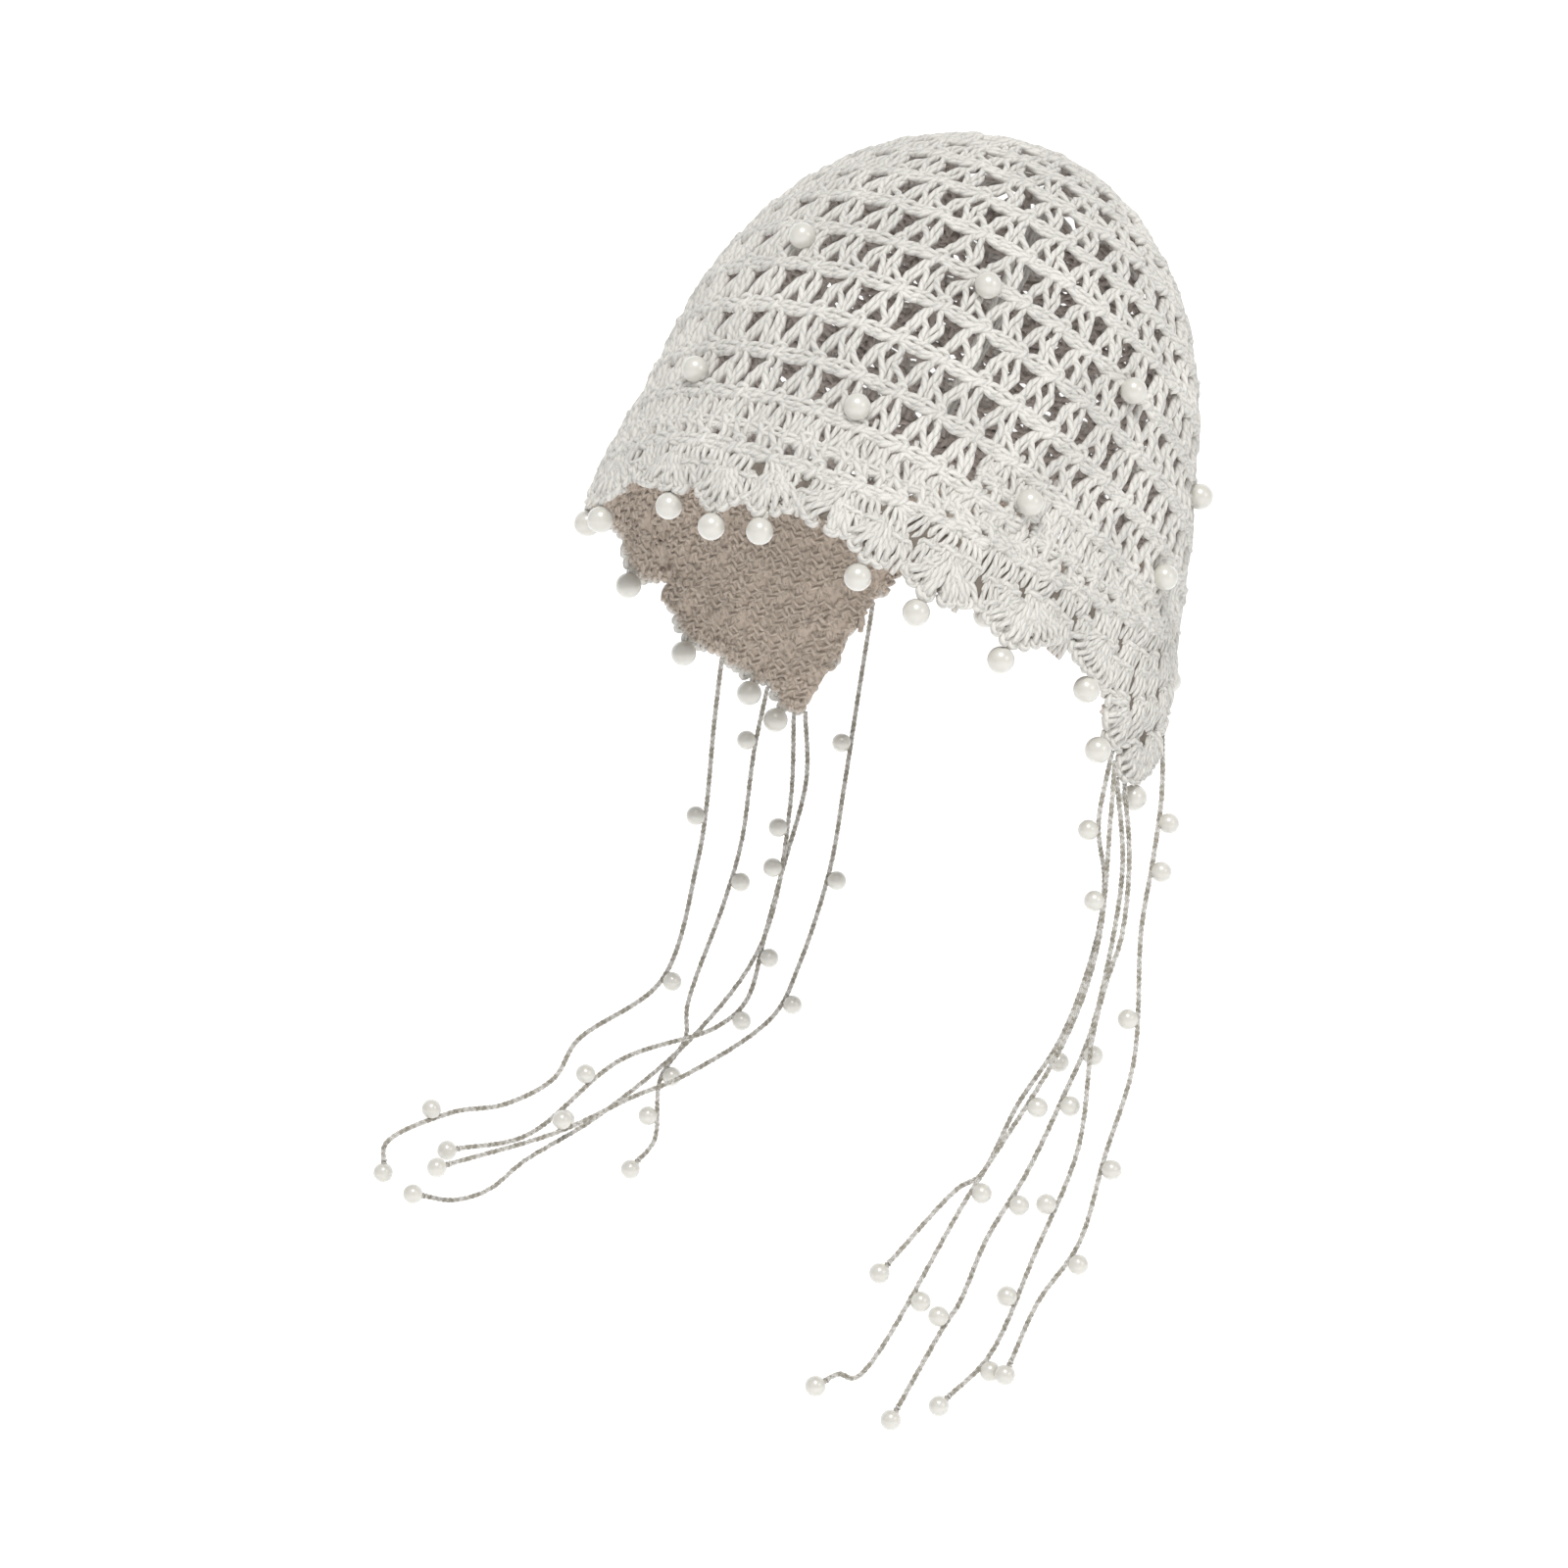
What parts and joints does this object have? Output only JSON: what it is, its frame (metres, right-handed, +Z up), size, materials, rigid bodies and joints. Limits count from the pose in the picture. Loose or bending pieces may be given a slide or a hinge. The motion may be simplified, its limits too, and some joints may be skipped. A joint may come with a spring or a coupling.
{
  "type": "crochet beanie",
  "caption": "Crocheted open-net beanie with ear flaps, pearls sewn on its crown and edge, and hanging chain ties with pearls.",
  "frame": {"origin": "middle of the head that the cap fits, level with the crown's widest line", "axes": "+Z up through the crown, -Y towards the front edge, +X towards the wearer's left ear flap"},
  "size_m": [0.2218, 0.2148, 0.3961],
  "materials": {
    "yarn": "matt plied cotton yarn",
    "pearl": "glossy pearl coat"
  },
  "bodies": {
    "root": {"crown_net": "yarn", "fan_border": "yarn", "crown_pearl_01": "pearl", "crown_pearl_02": "pearl", "crown_pearl_03": "pearl", "crown_pearl_04": "pearl", "crown_pearl_05": "pearl", "crown_pearl_06": "pearl", "crown_pearl_07": "pearl", "crown_pearl_08": "pearl", "crown_pearl_09": "pearl", "crown_pearl_10": "pearl", "crown_pearl_11": "pearl", "crown_pearl_12": "pearl", "crown_pearl_13": "pearl", "crown_pearl_14": "pearl", "crown_pearl_15": "pearl", "edge_pearl_01": "pearl", "edge_pearl_02": "pearl", "edge_pearl_03": "pearl", "edge_pearl_04": "pearl", "edge_pearl_05": "pearl", "edge_pearl_06": "pearl", "edge_pearl_07": "pearl", "edge_pearl_08": "pearl", "edge_pearl_09": "pearl", "edge_pearl_10": "pearl", "edge_pearl_11": "pearl", "edge_pearl_12": "pearl", "edge_pearl_13": "pearl", "edge_pearl_14": "pearl", "edge_pearl_15": "pearl", "edge_pearl_16": "pearl", "edge_pearl_17": "pearl", "edge_pearl_18": "pearl", "edge_pearl_19": "pearl", "strand_left_a": "yarn", "strand_left_b": "yarn", "strand_left_c": "yarn", "strand_left_d": "yarn", "strand_left_e": "yarn", "strand_right_a": "yarn", "strand_right_b": "yarn", "strand_right_c": "yarn", "strand_right_d": "yarn", "strand_right_e": "yarn"}
  },
  "joints": []
}
